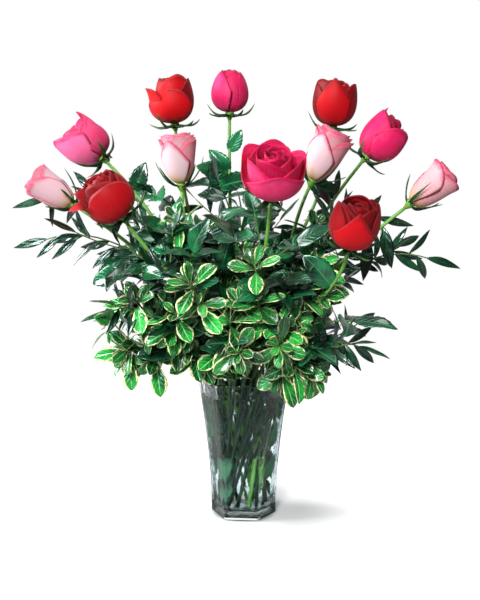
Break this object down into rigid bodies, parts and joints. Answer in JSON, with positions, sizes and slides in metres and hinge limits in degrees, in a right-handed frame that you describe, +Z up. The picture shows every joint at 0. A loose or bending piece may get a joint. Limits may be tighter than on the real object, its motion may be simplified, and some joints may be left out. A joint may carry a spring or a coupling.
{
  "type": "rose arrangement in a glass vase",
  "caption": "Long-stemmed red, hot pink and pale pink roses with pittosporum and ruscus greenery, standing in water in a faceted clear glass vase.",
  "frame": {"origin": "centre of the vase's flat underside", "axes": "+Z up, -Y to the front, +X to the right as seen from the front"},
  "size_m": [0.6213, 0.3555, 0.6401],
  "materials": {
    "vase": "polished",
    "water": "polished",
    "rose_stem": "satin",
    "calyx": "matte",
    "red_petals": "matte",
    "hot_pink_petals": "matte",
    "pale_pink_petals": "matte",
    "rose_leaf": "satin",
    "pittosporum": "gloss",
    "ruscus": "gloss"
  },
  "bodies": {
    "root": {"pittosporum_01": "pittosporum", "pittosporum_02": "pittosporum", "pittosporum_03": "pittosporum", "pittosporum_04": "pittosporum", "pittosporum_05": "pittosporum", "pittosporum_06": "pittosporum", "pittosporum_07": "pittosporum", "pittosporum_08": "pittosporum", "pittosporum_09": "pittosporum", "rose_01_bloom": "red_petals", "rose_01_calyx": "calyx", "rose_01_leaf": "rose_leaf", "rose_01_stem": "rose_stem", "rose_02_bloom": "hot_pink_petals", "rose_02_calyx": "calyx", "rose_02_leaf": "rose_leaf", "rose_02_stem": "rose_stem", "rose_03_bloom": "red_petals", "rose_03_calyx": "calyx", "rose_03_stem": "rose_stem", "rose_04_bloom": "hot_pink_petals", "rose_04_calyx": "calyx", "rose_04_leaf": "rose_leaf", "rose_04_stem": "rose_stem", "rose_05_bloom": "pale_pink_petals", "rose_05_calyx": "calyx", "rose_05_stem": "rose_stem", "rose_06_bloom": "red_petals", "rose_06_calyx": "calyx", "rose_06_stem": "rose_stem", "rose_07_bloom": "pale_pink_petals", "rose_07_calyx": "calyx", "rose_07_stem": "rose_stem", "rose_08_bloom": "hot_pink_petals", "rose_08_calyx": "calyx", "rose_08_leaf": "rose_leaf", "rose_08_stem": "rose_stem", "rose_09_bloom": "pale_pink_petals", "rose_09_calyx": "calyx", "rose_09_stem": "rose_stem", "rose_10_bloom": "hot_pink_petals", "rose_10_calyx": "calyx", "rose_10_leaf": "rose_leaf", "rose_10_stem": "rose_stem", "rose_11_bloom": "red_petals", "rose_11_calyx": "calyx", "rose_11_leaf": "rose_leaf", "rose_11_stem": "rose_stem", "rose_12_bloom": "pale_pink_petals", "rose_12_calyx": "calyx", "rose_12_stem": "rose_stem", "ruscus_01": "ruscus", "ruscus_02": "ruscus", "ruscus_03": "ruscus", "ruscus_04": "ruscus", "ruscus_05": "ruscus", "ruscus_06": "ruscus", "ruscus_07": "ruscus", "vase": "vase", "water": "water"}
  },
  "joints": []
}
